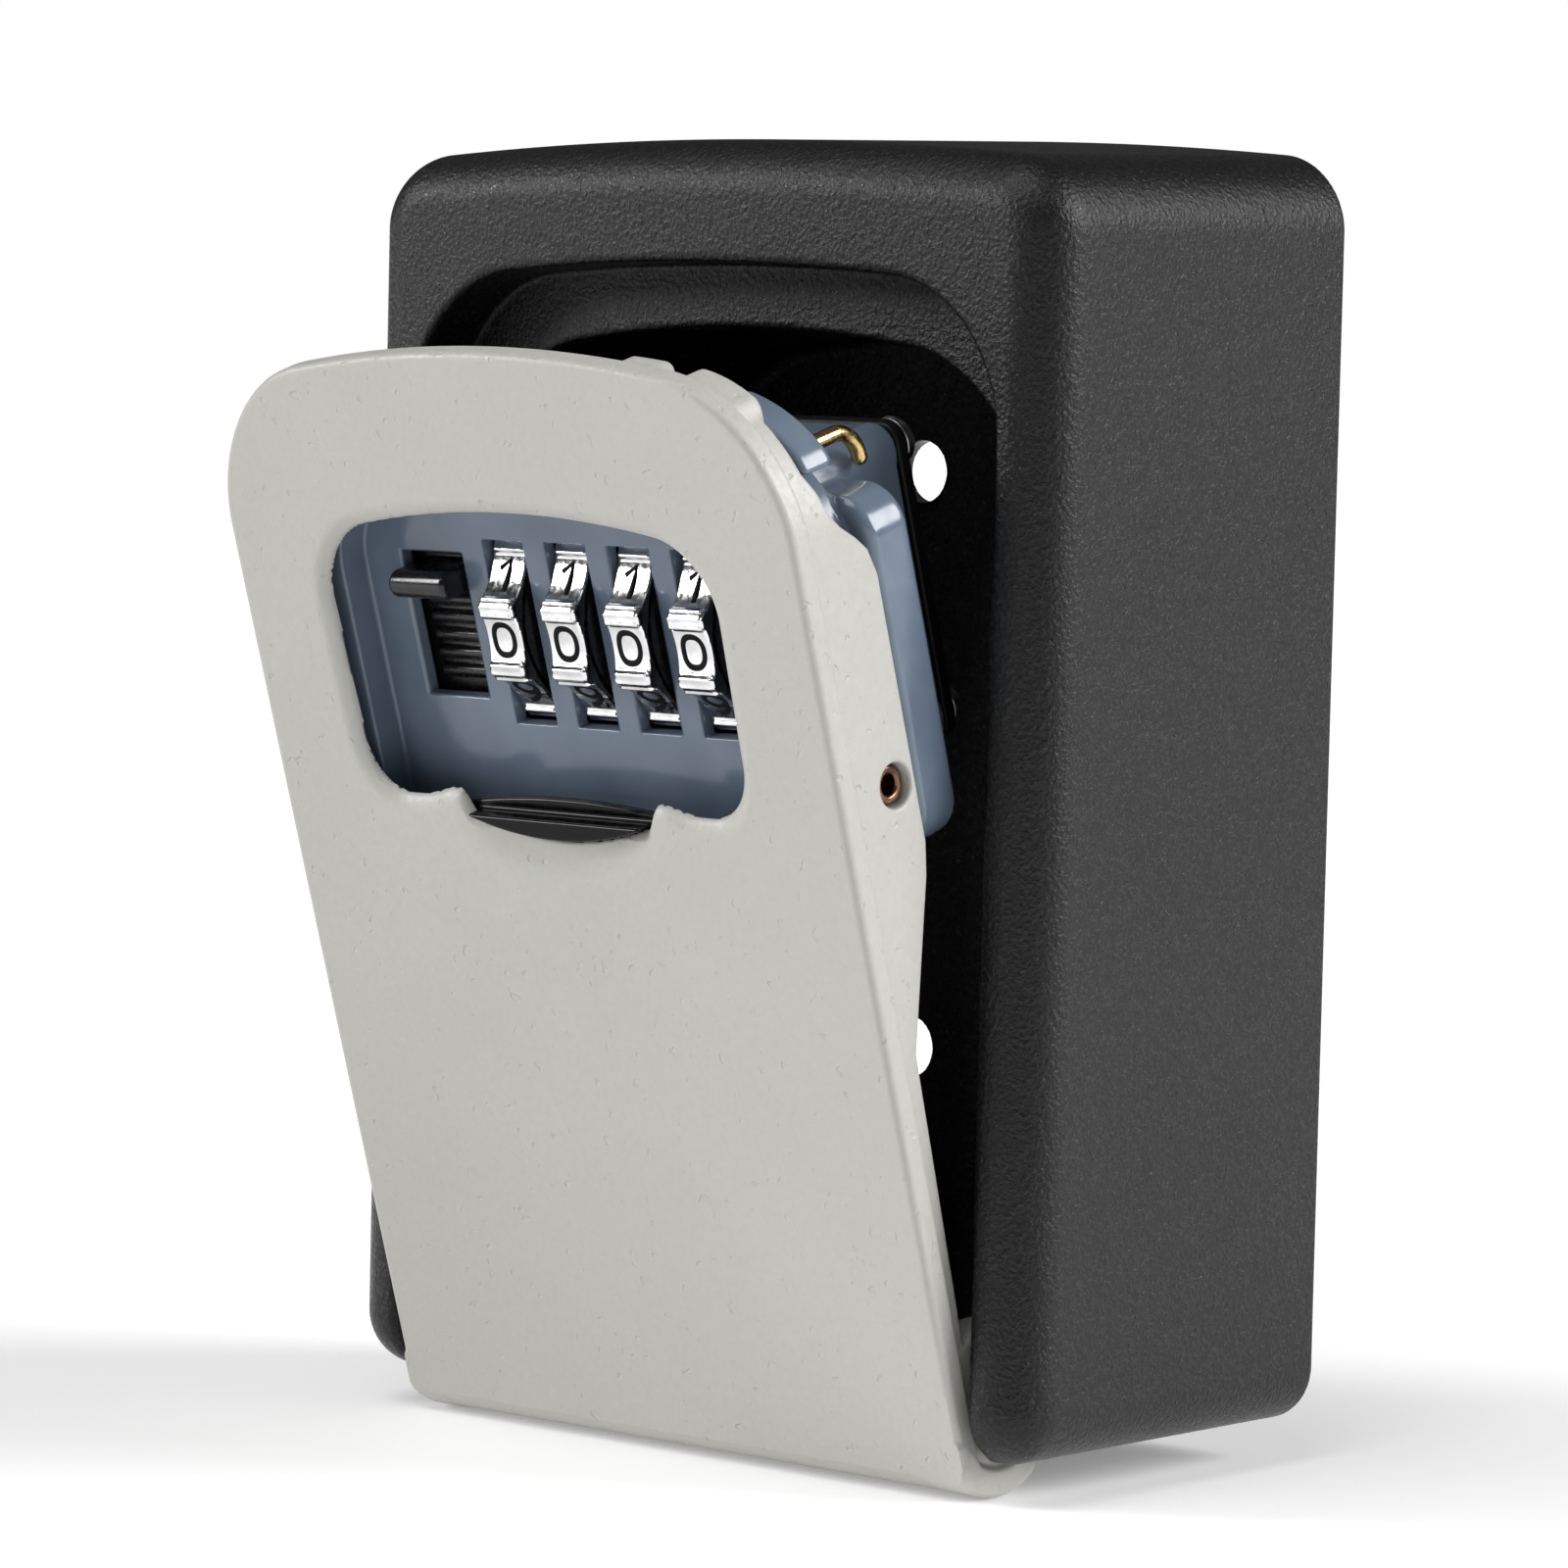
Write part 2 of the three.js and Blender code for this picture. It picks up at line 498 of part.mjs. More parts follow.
// Compression spring of the slide: a helix of round wire along s.
function latchSpring() {
  const { x, n, radius, turns } = SPRING;
  const bottom = SPRING.seat + SPRING.wire + GAP;
  const height = LATCH.foot - GAP - SPRING.wire - bottom;
  const points = [];
  for (let i = 0; i <= turns * 8; i++) {
    const angle = (i / 8) * 2 * Math.PI;
    const s = bottom + (i / (turns * 8)) * height;
    points.push(new THREE.Vector3(x + radius * Math.cos(angle), n + radius * Math.sin(angle), s));
  }
  const wire = new THREE.Shape();
  wire.absarc(0, 0, SPRING.wire, 0, 2 * Math.PI);
  const path = new THREE.CatmullRomCurve3(points);
  const geometry = new THREE.ExtrudeGeometry(wire, {
    steps: turns * 10, curveSegments: 3, bevelEnabled: false, extrudePath: path,
  });
  return toSolid(geometry);
}

// Weather shutter: a thin plate behind the door's skin, with a finger lip on its top edge.
function weatherShutter() {
  const s = SHUTTER;
  const plate = slab(archedOutline(s.halfWidth, s.bottom, s.top, 3, s.crown, 2), s.front, s.rear);
  const l = SHUTTER_LIP;
  const lip = new THREE.Shape();
  lip.moveTo(-l.halfWidth, l.top);
  lip.quadraticCurveTo(0, 2 * l.bottom - l.top, l.halfWidth, l.top);
  lip.closePath();
  return join(plate, slab(lip, l.front, s.front + 0.1, { curveSegments: 12 }));
}

// ---------------------------------------------------------------- hook and pins

// Hook for a key ring: round wire out of the housing's upper right corner, curled over and down.
function keyHook() {
  const y = HOUSING.middle + GAP;
  const bend = [[0, 0], [0.45, -0.1], [0.8, 0.1], [0.97, 0.5], [1, 1]];
  const points = bend.map(([out, down]) => new THREE.Vector3(
    HOOK.x,
    y + out * HOOK.reach,
    HOOK.s - down * HOOK.drop,
  ));
  const path = new THREE.CatmullRomCurve3(points);
  const wire = new THREE.Shape();
  wire.absarc(0, 0, HOOK.wire, 0, 2 * Math.PI);
  const geometry = new THREE.ExtrudeGeometry(wire, {
    steps: 14, curveSegments: 6, bevelEnabled: false, extrudePath: path,
  });
  return toSolid(geometry);
}

function sidePin(side) {
  const [x0, x1] = [side * SIDE_PIN.inner, side * SIDE_PIN.outer].sort((a, b) => a - b);
  const pin = rodX(SIDE_PIN.radius, x0, x1, SIDE_PIN.n, SIDE_PIN.s);
  const [a, b] = [side * 31.5, side * 34].sort((c, d) => c - d);
  return cut(pin, rodX(0.9, a, b, SIDE_PIN.n, SIDE_PIN.s, 12));
}

function hingePin(side) {
  const [x0, x1] = [side * HINGE.inner, side * HINGE.outer].sort((a, b) => a - b);
  return rodX(HINGE.pin, x0, x1, AXIS.n, AXIS.s);
}

// ---------------------------------------------------------------- assembly

add(root, "rear_case", rearCase(), "case");
add(door, "door_shell", doorShell(), "door");
add(door, "lock_housing", lockHousing(), "housing");
add(door, "lock_back_plate", lockBackPlate(), "blackPlastic");
BACK_SCREWS.forEach((place, i) => add(door, `back_plate_screw_${i + 1}`, backScrew(place), "steel"));
add(door, "dial_shaft", rodX(SHAFT.radius, -SHAFT.halfLength, SHAFT.halfLength, DIAL.n, DIAL.s), "steel");
add(door, "shaft_clip_left", shaftClip(CLIP.left), "steel");
add(door, "shaft_clip_right", shaftClip(CLIP.right), "steel");
for (let i = 0; i < DIAL.count; i++) {
  add(door, `dial_ring_${i + 1}`, dialRing(i), "chrome");
  add(door, `dial_hub_${i + 1}`, dialHub(i), "blackPlastic");
}
add(door, "detent_spring", detentSpring(), "steel");
add(door, "open_slide", openSlide(), "blackPlastic");
add(door, "latch_plate", latchPlate(), "steel");
add(door, "latch_spring", latchSpring(), "steel");
add(door, "weather_shutter", weatherShutter(), "blackPlastic");
add(door, "reset_lever", resetLever(), "blackPlastic");
add(door, "key_hook", keyHook(), "brass");
for (const [name, side] of [["left", -1], ["right", 1]]) {
  add(door, `side_pin_${name}`, sidePin(side), "brass");
  add(door, `hinge_pin_${name}`, hingePin(side), "steel");
}

// The door's frame hangs on the hinge axis and leans forward by the open angle.
door.position.set(0, -AXIS.n, -AXIS.s);
const hinge = new THREE.Group();
hinge.position.set(0, HINGE.y, HINGE.z);
hinge.rotation.x = OPEN_ANGLE;
hinge.add(door);
root.add(hinge);

export default root;
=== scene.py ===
"""Looks of the combination key lock box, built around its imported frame."""

import json
import math

import bmesh
import bpy
import numpy as np
from mathutils import Matrix, Vector

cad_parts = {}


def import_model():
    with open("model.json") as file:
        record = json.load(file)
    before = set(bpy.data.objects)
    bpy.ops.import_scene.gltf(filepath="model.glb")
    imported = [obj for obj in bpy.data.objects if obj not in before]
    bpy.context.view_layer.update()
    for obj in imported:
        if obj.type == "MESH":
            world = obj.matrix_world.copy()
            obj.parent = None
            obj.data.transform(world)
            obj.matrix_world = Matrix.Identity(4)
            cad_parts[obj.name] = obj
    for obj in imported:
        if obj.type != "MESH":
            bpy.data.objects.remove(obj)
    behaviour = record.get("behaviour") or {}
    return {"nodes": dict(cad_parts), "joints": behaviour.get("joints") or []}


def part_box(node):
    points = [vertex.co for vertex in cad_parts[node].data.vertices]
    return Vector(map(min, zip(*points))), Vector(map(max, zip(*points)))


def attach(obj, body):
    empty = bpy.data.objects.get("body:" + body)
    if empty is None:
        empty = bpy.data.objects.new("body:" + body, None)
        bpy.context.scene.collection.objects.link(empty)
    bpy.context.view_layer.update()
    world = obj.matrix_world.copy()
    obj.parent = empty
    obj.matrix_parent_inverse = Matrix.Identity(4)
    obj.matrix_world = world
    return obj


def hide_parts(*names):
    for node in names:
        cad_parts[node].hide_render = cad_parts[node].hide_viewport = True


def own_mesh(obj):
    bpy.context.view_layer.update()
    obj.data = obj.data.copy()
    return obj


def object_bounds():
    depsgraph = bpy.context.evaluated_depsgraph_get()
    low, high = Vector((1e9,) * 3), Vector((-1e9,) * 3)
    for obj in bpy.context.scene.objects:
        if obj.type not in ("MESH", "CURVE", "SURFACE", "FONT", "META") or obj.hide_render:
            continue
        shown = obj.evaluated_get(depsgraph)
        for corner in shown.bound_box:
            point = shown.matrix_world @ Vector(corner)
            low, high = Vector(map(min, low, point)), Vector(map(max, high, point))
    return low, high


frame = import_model()
CAD_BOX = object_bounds()
MM = 0.001

# ------------------------------------------------------------------ frames
# Door frame, in mm: x across, n into the door from its front face, s up from its bottom edge.

JOINTS = {j["name"]: j for j in frame["joints"]}
HINGE_Y, HINGE_Z = (v / MM for v in JOINTS["door_hinge"]["pos_m"][1:])
LEAN = math.radians(-JOINTS["door_hinge"]["range_deg"][0])
AXIS_N, AXIS_S = 6.7, 4.6


def from_door(p):
    """Points (x, n, s) in mm to the row frame in metres, at rest."""
    n, s = p[:, 1] - AXIS_N, p[:, 2] - AXIS_S
    y = HINGE_Y + n * math.cos(LEAN) - s * math.sin(LEAN)
    z = HINGE_Z + n * math.sin(LEAN) + s * math.cos(LEAN)
    return np.stack([p[:, 0], y, z], 1) * MM


def from_case(p):
    return p * MM


# ------------------------------------------------------------------ distance fields
# A field is negative inside. both() and either() fillet the edge where two fields meet.


def both(a, b, r=0.0):
    if r <= 0:
        return np.maximum(a, b)
    return np.minimum(-r, np.maximum(a, b)) + np.hypot(np.maximum(a + r, 0), np.maximum(b + r, 0))


def either(a, b, r=0.0):
    return -both(-a, -b, r)


def less(a, b, r=0.0):
    """Field a with field b cut out of it."""
    return both(a, -b, r)


def span(v, low, high):
    return np.maximum(low - v, v - high)


def arched(x, z, half, bottom, top, corner, crown, low_corner):
    """A rounded rectangle whose top edge is a shallow arch."""
    radius = (half - corner) ** 2 / (2 * crown)
    arch = np.hypot(x, z - (top - radius)) - radius
    return both(both(np.abs(x) - half, arch, corner), bottom - z, low_corner)


def block(x, y, z, xs, ys, zs, r=0.0):
    return both(both(span(x, *xs), span(y, *ys), r), span(z, *zs), r)


def capsule(x, y, z, a, b, r):
    a, b = np.array(a, float), np.array(b, float)
    d = b - a
    t = ((x - a[0]) * d[0] + (y - a[1]) * d[1] + (z - a[2]) * d[2]) / (d @ d)
    t = np.clip(t, 0, 1)
    return np.sqrt((x - a[0] - t * d[0]) ** 2 + (y - a[1] - t * d[1]) ** 2 + (z - a[2] - t * d[2]) ** 2) - r


def smooth(v, low, high):
    t = np.clip((v - low) / (high - low), 0, 1)
    return t * t * (3 - 2 * t)


def slope_of(field, v, h=0.01):
    g = np.empty_like(v)
    for a in range(3):
        d = np.zeros(3)
        d[a] = h
        g[:, a] = field(*(v + d).T) - field(*(v - d).T)
    return g / (2 * h)


def net(field, low, high, step):
    """Surface nets: the zero surface of a field, as points and quads."""
    axes = [np.arange(lo - 2.3 * step, hi + 2.6 * step, step) for lo, hi in zip(low, high)]
    grid = np.meshgrid(*axes, indexing="ij", sparse=True)
    f = np.broadcast_to(field(*grid), [len(a) for a in axes]).astype(np.float32)
    inside = f < 0
    corners = np.array([[i, j, k] for i in (0, 1) for j in (0, 1) for k in (0, 1)])
    size = np.array(f.shape) - 1
    count = np.zeros(size, np.int8)
    for i, j, k in corners:
        count += inside[i:i + size[0], j:j + size[1], k:k + size[2]]
    active = (count > 0) & (count < 8)
    cells = np.argwhere(active)
    index = np.full(active.shape, -1, np.int64)
    index[active] = np.arange(len(cells))
    total, hits = np.zeros((len(cells), 3)), np.zeros(len(cells))
    for a in range(3):
        e = np.eye(3, dtype=int)[a]
        for p in corners[corners[:, a] == 0]:
            fa, fb = f[tuple((cells + p).T)], f[tuple((cells + p + e).T)]
            cross = (fa < 0) != (fb < 0)
            t = np.where(cross, fa / np.where(cross, fa - fb, 1), 0)
            total += cross[:, None] * (p + t[:, None] * e)
            hits += cross
    points = np.array([a[0] for a in axes]) + step * (cells + total / hits[:, None])
    quads = []
    for a in range(3):
        b, c = (a + 1) % 3, (a + 2) % 3
        p = np.argwhere(np.diff(inside, axis=a))
        eb, ec = np.eye(3, dtype=int)[b], np.eye(3, dtype=int)[c]
        q = np.stack([index[tuple((p - eb * i - ec * j).T)] for i, j in ((1, 1), (0, 1), (0, 0), (1, 0))], 1)
        out = inside[tuple(p.T)]
        quads.append(np.where(out[:, None], q, q[:, ::-1]))
    quads = np.concatenate(quads)
    for _ in range(3):
        g = slope_of(field, points)
        f0 = np.clip(field(*points.T), -0.5 * step, 0.5 * step)
        points -= (f0 / np.maximum((g * g).sum(1), 0.2))[:, None] * g
    return points, quads


def solid(name, field, low, high, step, keep=0.3, place=from_door):
    """A mesh object of a field, thinned where it is flat, with normals taken from the field."""
    step = step * 1.0
    points, quads = net(field, low, high, step)
    mesh = bpy.data.meshes.new(name)
    mesh.from_pydata(points, [], quads)
    obj = bpy.data.objects.new(name, mesh)
    bpy.context.scene.collection.objects.link(obj)
    if keep < 1:
        thin = obj.modifiers.new("thin", "DECIMATE")
        thin.ratio = keep
        done = bpy.data.meshes.new_from_object(obj.evaluated_get(bpy.context.evaluated_depsgraph_get()))
        obj.modifiers.clear()
        obj.data = done
        bpy.data.meshes.remove(mesh)
        mesh = done
        mesh.name = name
    co = np.empty(len(mesh.vertices) * 3)
    mesh.vertices.foreach_get("co", co)
    co = co.reshape(-1, 3)
    normal = slope_of(field, co, 0.02)
    tip = place(co + normal * 0.1)
    world = place(co)
    mesh.vertices.foreach_set("co", world.ravel())
    mesh.polygons.foreach_set("use_smooth", np.ones(len(mesh.polygons), bool))
    mesh.update()
    normal = tip - world
    normal /= np.maximum(np.linalg.norm(normal, axis=1), 1e-12)[:, None]
    mesh.normals_split_custom_set_from_vertices(normal)
    return obj


# ------------------------------------------------------------------ materials


class Shade:
    """Builds one node material around a Principled shader."""

    def __init__(self, name, color, rough, metallic=0.0):
        self.mat = bpy.data.materials.new(name)
        self.mat.use_nodes = True
        self.tree = self.mat.node_tree
        self.bsdf = self.tree.nodes["Principled BSDF"]
        self.bsdf.inputs["Base Color"].default_value = (*color, 1)
        self.bsdf.inputs["Roughness"].default_value = rough
        self.bsdf.inputs["Metallic"].default_value = metallic
        self.coords = self.tree.nodes.new("ShaderNodeTexCoord").outputs["Object"]
        self.heights = []

    def put(self, kind, **inputs):
        node = self.tree.nodes.new(kind)
        for key, value in inputs.items():
            socket = node.inputs[key.replace("_", " ")]
            if isinstance(value, bpy.types.NodeSocket):
                self.tree.links.new(value, socket)
            else:
                socket.default_value = value
        return node

    def scaled(self, scale):
        return self.put("ShaderNodeMapping", Vector=self.coords, Scale=scale).outputs["Vector"]

    def noise(self, size, detail=2.0, rough=0.5, stretch=(1, 1, 1), distortion=0.0):
        """Noise whose features are about size mm across."""
        vector = self.coords if stretch == (1, 1, 1) else self.scaled(stretch)
        node = self.put("ShaderNodeTexNoise", Vector=vector, Scale=1 / (size * MM), Detail=detail,
                        Roughness=rough, Distortion=distortion)
        return node.outputs["Fac"]

    def cells(self, size, feature="F1"):
        node = self.put("ShaderNodeTexVoronoi", Vector=self.coords, Scale=1 / (size * MM))
        node.feature = feature
        return node.outputs["Distance"]

    def remap(self, value, a, b, low, high):
        node = self.put("ShaderNodeMapRange", Value=value)
        node.inputs["From Min"].default_value = a
        node.inputs["From Max"].default_value = b
        node.inputs["To Min"].default_value = low
        node.inputs["To Max"].default_value = high
        return node.outputs["Result"]

    def math(self, kind, a, b):
        node = self.tree.nodes.new("ShaderNodeMath")
        node.operation = kind
        for socket, value in zip(node.inputs, (a, b)):
            if isinstance(value, bpy.types.NodeSocket):
                self.tree.links.new(value, socket)
            else:
                socket.default_value = value
        return node.outputs[0]

    def colours(self, value, stops):
        ramp = self.put("ShaderNodeValToRGB", Fac=value)
        elements = ramp.color_ramp.elements
        while len(elements) < len(stops):
            elements.new(0.5)
        for element, (at, colour) in zip(elements, stops):
            element.position = at
            element.color = (*colour, 1)
        self.tree.links.new(ramp.outputs["Color"], self.bsdf.inputs["Base Color"])

    def roughness(self, value):
        self.tree.links.new(value, self.bsdf.inputs["Roughness"])

    def bump(self, height, depth, strength=1.0):
        """Relief of depth mm."""
        node = self.put("ShaderNodeBump", Height=height, Distance=depth * MM, Strength=strength)
        if self.heights:
            self.tree.links.new(self.heights[-1], node.inputs["Normal"])
        self.heights.append(node.outputs["Normal"])
        self.tree.links.new(node.outputs["Normal"], self.bsdf.inputs["Normal"])

    def set(self, **values):
        for key, value in values.items():
            self.bsdf.inputs[key.replace("_", " ")].default_value = value
        return self


def case_paint():
    m = Shade("case_powder_coat", (0.03, 0.03, 0.031), 0.45)
    grain = m.remap(m.noise(0.45, detail=3, rough=0.65), 0.4, 0.66, 0, 1)
    pits = m.remap(m.cells(0.62), 0.1, 0.55, 1, 0)
    fine = m.noise(0.2, detail=1)
    broad = m.noise(22, detail=2)
    m.colours(m.math("ADD", m.math("MULTIPLY", grain, 0.7), m.math("MULTIPLY", broad, 0.3)),
              [(0.1, (0.003, 0.003, 0.0032)), (0.5, (0.0065, 0.0065, 0.0068)), (0.9, (0.014, 0.014, 0.0146))])
    m.roughness(m.remap(grain, 0, 1, 0.38, 0.22))
    m.bump(grain, 0.042, 1.0)
    m.bump(pits, 0.035, 0.9)
    m.bump(fine, 0.012, 0.8)
    m.set(Specular_IOR_Level=0.3)
    return m.mat


def door_paint():
    m = Shade("door_powder_coat", (0.55, 0.54, 0.49), 0.5)
    grain = m.noise(0.75, detail=2, rough=0.5)
    fine = m.noise(0.28, detail=1)
    dents = m.remap(m.noise(1.1, detail=1), 0.68, 0.78, 0, -1)
    broad = m.noise(18, detail=2)
    m.colours(m.math("ADD", m.math("MULTIPLY", grain, 0.6), m.math("MULTIPLY", broad, 0.4)),
              [(0.35, (0.438, 0.433, 0.406)), (0.52, (0.452, 0.447, 0.42)), (0.7, (0.47, 0.465, 0.437))])
    m.roughness(m.remap(grain, 0.35, 0.7, 0.36, 0.54))
    m.bump(grain, 0.09, 0.6)
    m.bump(fine, 0.025, 0.5)
    m.bump(dents, 0.1, 0.9)
    return m.mat


def housing_plastic():
    m = Shade("housing_blue_plastic", (0.1, 0.13, 0.18), 0.12)
    broad = m.noise(9, detail=2)
    m.colours(broad, [(0.3, (0.1, 0.133, 0.185)), (0.55, (0.122, 0.16, 0.215)), (0.8, (0.148, 0.188, 0.245))])
    m.roughness(m.remap(m.noise(1.2, detail=3), 0.35, 0.7, 0.13, 0.27))
    m.bump(m.noise(3.2, detail=1), 0.03, 0.4)
    m.bump(m.noise(0.3, detail=1), 0.004, 0.3)
    m.set(Coat_Weight=0.15, Coat_Roughness=0.12)
    return m.mat


def black_plastic(name="black_plastic", rough=0.2, shine=0.5, tone=0.01):
    m = Shade(name, (tone, tone, tone), rough)
    m.set(Specular_IOR_Level=shine)
    dark = tone * 0.4
    m.colours(m.noise(2.5, detail=3), [(0.3, (dark, dark, dark * 1.1)), (0.7, (tone, tone, tone * 1.1))])
    m.roughness(m.remap(m.noise(0.8, detail=3), 0.3, 0.7, rough - 0.06, rough + 0.12))
    m.bump(m.noise(0.35, detail=2), 0.006, 0.4)
    return m.mat


def chrome():
    m = Shade("dial_chrome", (0.86, 0.86, 0.87), 0.09, 1.0)
    m.colours(m.noise(1.6, detail=3), [(0.3, (0.66, 0.66, 0.67)), (0.7, (0.88, 0.88, 0.88))])
    m.roughness(m.remap(m.noise(0.5, detail=3), 0.35, 0.7, 0.06, 0.2))
    m.bump(m.noise(1.3, detail=2), 0.05, 0.6)
    m.bump(m.noise(0.3, detail=2), 0.006, 0.5)
    return m.mat


def metal(name, dark, light, rough, size=0.8, stretch=(1, 1, 1)):
    m = Shade(name, light, rough, 1.0)
    m.colours(m.noise(size * 3, detail=3, stretch=stretch), [(0.3, dark), (0.7, light)])
    m.roughness(m.remap(m.noise(size, detail=3, stretch=stretch), 0.3, 0.7, rough - 0.08, rough + 0.14))
    m.bump(m.noise(size * 0.5, detail=2, stretch=stretch), 0.006, 0.5)
    return m.mat


LOOKS = {
    "case": case_paint(),
    "door": door_paint(),
    "housing": housing_plastic(),
    "black": black_plastic(),
    "gloss_black": black_plastic("gloss_black_plastic", 0.12, 0.16, 0.003),
    "satin_black": black_plastic("satin_black_plastic", 0.45, 0.2, 0.006),
    "chrome": chrome(),
    "steel": metal("zinc_plated_steel", (0.42, 0.42, 0.43), (0.62, 0.62, 0.63), 0.3),
    "brass": metal("brass", (0.5, 0.33, 0.13), (0.82, 0.6, 0.27), 0.2),
    "bronze": metal("dark_bronze", (0.06, 0.035, 0.025), (0.3, 0.16, 0.09), 0.25),
    "ink": black_plastic("digit_paint", 0.6, 0.08),
}


def finish(obj, look, body, slot, *nodes):
    obj.data.materials.clear()
    obj.data.materials.append(LOOKS[look])
    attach(obj, body)
    if nodes:
        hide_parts(*nodes)
    return obj


# ------------------------------------------------------------------ case

CASE_HALF, CASE_BOTTOM, CASE_TOP = 42.5, -60, 60.8
CASE_FRONT, CASE_BACK_WALL, CASE_DRAFT = -44.0, -2.5, 1.5
REBATE_BACK, HEAD_BACK = -41.1, -37.3
HINGE_CLEAR, SOCKET_RADIUS = 8.4, 1.85
HOLE_X, HOLE_Z, HOLE_RADIUS = 6.5, 28.4, 3


def case_field(x, y, z):
    full = z / np.where(z > 0, 1 - CASE_DRAFT / CASE_TOP * y / CASE_FRONT, 1)
    outline = arched(x, full, CASE_HALF, CASE_BOTTOM, CASE_TOP, 6.8, 1.4, 5.5)
    outer = both(both(outline, CASE_FRONT - y, 5.2), y, 0.8)
    rebate = both(arched(x, z, 35.7, -85, 46.6, 13.2, 1.8, 1), y - REBATE_BACK, 0.7)
    opening = both(arched(x, z, 35.6, -56.6, 42, 15, 1.5, 3), y - CASE_BACK_WALL, 1.5)
    head = both(arched(x, z, 36.3, 8, 48, 12.8, 1, 12.8), y - HEAD_BACK, 0.5)
    f = less(less(outer, rebate, 1.3), head, 0.7)
    f = less(f, opening, 0.6)
    round_hinge = np.hypot(y - HINGE_Y, z - HINGE_Z)
    f = less(f, both(round_hinge - HINGE_CLEAR, np.abs(x) - 35.7, 0.3), 0.5)
    f = less(f, both(round_hinge - SOCKET_RADIUS, np.abs(x) - 39.2))
    bolt_recess = block(x, y, z, (-10, 10), (-35.5, -31), (36, 46), 0.8)
    f = less(f, bolt_recess, 0.4)
    holes = np.hypot(np.abs(x) - HOLE_X, np.abs(z) - HOLE_Z) - HOLE_RADIUS
    return less(f, both(holes, np.abs(y + 1) - 6), 0.4)


CASE_LOW, CASE_HIGH = (-CASE_HALF, CASE_FRONT, CASE_BOTTOM), (CASE_HALF, 0, CASE_TOP)
case = solid("case_casting", case_field, CASE_LOW, CASE_HIGH, 0.45, 0.3, from_case)
finish(case, "case", "case", "case_black", "rear_case")

# ------------------------------------------------------------------ door shell

SIDE_PIN_N, SIDE_PIN_S = 8.5, 64.2
SIDE_PIN_BORE = 2.05
DOOR_HALF, DOOR_TOP, SKIN = 35, 105.9, 2.5
EAR_RADIUS, LIP_MIDDLE, LIP_HALF = 8.05, 6.675, 1.375
# How far back the rim reaches, at heights up the door.
RIM_HEIGHTS = [-5, 12, 40, 55, 58, 83, 85.5, 87, 88.5, 90, 92, 94, 110]
RIM_REARS = [4.2, 4.2, 5, 10.6, 11.3, 11.3, 10.6, 9.3, 7.6, 6.5, 6.1, 5.3, 5.2]


def window(x, s):
    """The dial window: arched top, leaning sides, and a floor that dips in the middle."""
    ax = np.abs(x)
    arch = np.hypot(x, s + 9.4) - 100
    floor = 62.8 + 0.8 * np.exp(-(((ax - 12.9) / 2.3) ** 2))
    dip = 59.3 + 2.1 * (ax / 11) ** 2
    floor = dip + (floor - dip) * smooth(ax, 10.7, 12.3)
    sides = ax - 24 + 0.03 * np.clip(84 - s, 0, 30)
    return both(both(sides, arch, 6), (floor - s) * 0.85, 4.5)


def door_relief(x, s, w):
    """How far the front face is pressed in, in mm."""
    roll = 0.85 * np.clip(1 - w / 1.7, 0, 1) ** 2
    scoop = 0.75 * (1 - smooth(np.hypot(x / 13, (s - 60.5) / 5.2), 0.45, 1.0))
    return np.maximum(roll, scoop)


def door_field(x, n, s):
    w = window(x, s)
    plate = both(arched(x, s, DOOR_HALF, 0, DOOR_TOP, 12.5, 1.8, 1.5), door_relief(x, s, w) - n, 0.75)
    plate = both(plate, n - SKIN, 0.4)
    rear = np.interp(s, RIM_HEIGHTS, RIM_REARS)
    outer = arched(x, s, 34.2, 2, 104.4, 12.2, 1.6, 1)
    inner = arched(x, s, 32.2, -10, 102.4, 10.2, 1.6, 1)
    rim = both(less(outer, inner, 0.5), span(n, 1.5, rear), 0.5)
    lugs = arched(x, s, 34.8, 80, 105, 12.5, 1.6, 1)
    ends = either(span(x, 14.5, 19.6), span(x, 22.4, 29))
    lugs = both(both(less(lugs, inner), ends, 0.9), span(n, 1.5, 6.3), 0.9)
    reach = np.hypot(n - AXIS_N, s - AXIS_S)
    a, b = math.radians(95), math.radians(29)
    wedge = both((n - AXIS_N) * math.cos(a) + (s - AXIS_S) * math.sin(a),
                 (n - AXIS_N) * math.cos(b) + (s - AXIS_S) * math.sin(b))
    lip = both(both(np.abs(reach - LIP_MIDDLE) - LIP_HALF, wedge, 1.2), np.abs(x) - DOOR_HALF, 0.6)
    ear = both(reach - EAR_RADIUS, span(np.abs(x), 30.5, 34.4), 0.5)
    f = either(either(plate, rim, 0.6), lugs, 0.5)
    f = either(either(f, lip, 0.4), ear, 0.3)
    f = both(f, -n)
    f = less(f, both(w, span(n, -5, 3.5)), 0.35)
    shutter_way = block(x, n, s, (-27, 27), (1.2, 4), (31, 92.5), 0.3)
    hinge_bore = reach - 1.8 + 5 * (np.abs(x) < 29)
    side_bore = both(np.hypot(n - SIDE_PIN_N, s - SIDE_PIN_S) - SIDE_PIN_BORE, 30 - np.abs(x))
    return less(less(less(f, shutter_way), hinge_bore), side_bore, 0.35)


door = solid("door_casting", door_field, (-35, 0, -3.5), (35, 15, 106), 0.27, 0.25)
finish(door, "door", "door", "door_grey", "door_shell")

# ------------------------------------------------------------------ lock housing

DIAL_N, DIAL_S = 13.4, 77.3
DIALS = [(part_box(f"dial_ring_{i}")[0].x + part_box(f"dial_ring_{i}")[1].x) / 2 / MM for i in range(1, 5)]
BACK_SCREWS = [(x, s) for s in (64.6, 89.8) for x in (-23.9, 23.9)]


